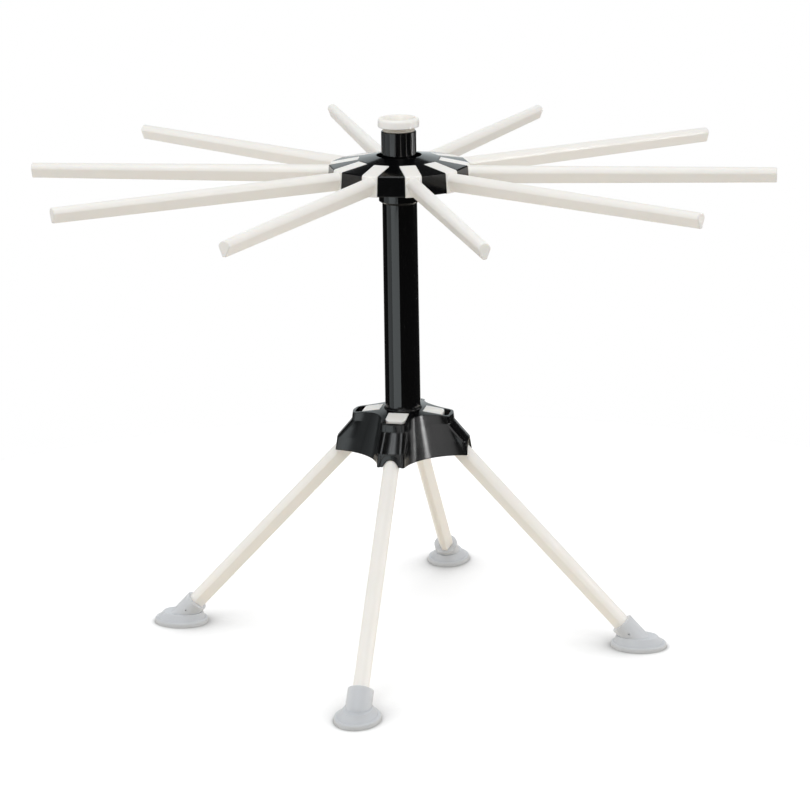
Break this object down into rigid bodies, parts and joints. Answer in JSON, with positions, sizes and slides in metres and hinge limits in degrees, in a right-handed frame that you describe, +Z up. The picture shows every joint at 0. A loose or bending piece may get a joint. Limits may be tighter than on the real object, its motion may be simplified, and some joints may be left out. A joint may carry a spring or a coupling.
{
  "type": "pasta drying rack",
  "caption": "Folding countertop pasta drying rack: arms radiate from a turning hub on a column with a lift-out wand, over splayed folding legs with soft feet.",
  "frame": {"origin": "on the worktop, at the axis of the column, with the feet standing on z = 0", "axes": "+Z up along the column, +X from the column towards leg_1, +Y from the column towards leg_2"},
  "size_m": [0.4988, 0.4884, 0.3635],
  "materials": {
    "white_plastic": "satin",
    "black_plastic": "gloss",
    "rubber_foot": "translucent matte",
    "screw_steel": "zinc plated"
  },
  "bodies": {
    "column": {"column": "black_plastic", "base_cover": "black_plastic", "base_retainer": "black_plastic", "base_screws": "screw_steel"},
    "hub": {"hub_cover": "black_plastic", "hub_retainer": "black_plastic", "hub_screws": "screw_steel"},
    "arm_01": {"arm_01": "white_plastic"},
    "arm_02": {"arm_02": "white_plastic"},
    "arm_03": {"arm_03": "white_plastic"},
    "arm_04": {"arm_04": "white_plastic"},
    "arm_05": {"arm_05": "white_plastic"},
    "arm_06": {"arm_06": "white_plastic"},
    "arm_07": {"arm_07": "white_plastic"},
    "arm_08": {"arm_08": "white_plastic"},
    "arm_09": {"arm_09": "white_plastic"},
    "arm_10": {"arm_10": "white_plastic"},
    "leg_1": {"leg_1": "white_plastic", "foot_1": "rubber_foot"},
    "leg_2": {"leg_2": "white_plastic", "foot_2": "rubber_foot"},
    "leg_3": {"leg_3": "white_plastic", "foot_3": "rubber_foot"},
    "leg_4": {"leg_4": "white_plastic", "foot_4": "rubber_foot"},
    "wand": {"lifting_wand": "white_plastic"}
  },
  "joints": [
    {"name": "hub_turn", "type": "hinge", "parent": "column", "child": "hub", "pos_m": [0, 0, 0.3191], "axis": [0, 0, 1], "continuous": true},
    {"name": "arm_01_fold", "type": "hinge", "parent": "hub", "child": "arm_01", "pos_m": [0.03158, 0.00271, 0.33028], "axis": [0.0854, -0.9963, 0], "range_deg": [0, 90]},
    {"name": "arm_02_fold", "type": "hinge", "parent": "hub", "child": "arm_02", "pos_m": [0.02396, 0.02075, 0.33028], "axis": [0.6547, -0.7559, 0], "range_deg": [0, 90]},
    {"name": "arm_03_fold", "type": "hinge", "parent": "hub", "child": "arm_03", "pos_m": [0.00719, 0.03087, 0.33028], "axis": [0.974, -0.2267, 0], "range_deg": [0, 90]},
    {"name": "arm_04_fold", "type": "hinge", "parent": "hub", "child": "arm_04", "pos_m": [-0.01234, 0.0292, 0.33028], "axis": [0.9212, 0.3891, 0], "range_deg": [0, 90]},
    {"name": "arm_05_fold", "type": "hinge", "parent": "hub", "child": "arm_05", "pos_m": [-0.02714, 0.01637, 0.33028], "axis": [0.5165, 0.8563, 0], "range_deg": [0, 90]},
    {"name": "arm_06_fold", "type": "hinge", "parent": "hub", "child": "arm_06", "pos_m": [-0.03158, -0.00271, 0.33028], "axis": [-0.0854, 0.9963, 0], "range_deg": [0, 90]},
    {"name": "arm_07_fold", "type": "hinge", "parent": "hub", "child": "arm_07", "pos_m": [-0.02396, -0.02075, 0.33028], "axis": [-0.6547, 0.7559, 0], "range_deg": [0, 90]},
    {"name": "arm_08_fold", "type": "hinge", "parent": "hub", "child": "arm_08", "pos_m": [-0.00719, -0.03087, 0.33028], "axis": [-0.974, 0.2267, 0], "range_deg": [0, 90]},
    {"name": "arm_09_fold", "type": "hinge", "parent": "hub", "child": "arm_09", "pos_m": [0.01234, -0.0292, 0.33028], "axis": [-0.9212, -0.3891, 0], "range_deg": [0, 90]},
    {"name": "arm_10_fold", "type": "hinge", "parent": "hub", "child": "arm_10", "pos_m": [0.02714, -0.01637, 0.33028], "axis": [-0.5165, -0.8563, 0], "range_deg": [0, 90]},
    {"name": "leg_1_fold", "type": "hinge", "parent": "column", "child": "leg_1", "pos_m": [0.0205, 0, 0.154], "axis": [0, 1, 0], "range_deg": [0, 41]},
    {"name": "leg_2_fold", "type": "hinge", "parent": "column", "child": "leg_2", "pos_m": [0, 0.0205, 0.154], "axis": [-1, 0, 0], "range_deg": [0, 41]},
    {"name": "leg_3_fold", "type": "hinge", "parent": "column", "child": "leg_3", "pos_m": [-0.0205, 0, 0.154], "axis": [0, -1, 0], "range_deg": [0, 41]},
    {"name": "leg_4_fold", "type": "hinge", "parent": "column", "child": "leg_4", "pos_m": [0, -0.0205, 0.154], "axis": [1, 0, 0], "range_deg": [0, 41]},
    {"name": "wand_lift", "type": "slide", "parent": "column", "child": "wand", "axis": [0, 0, 1], "range_m": [0, 0.19]}
  ]
}
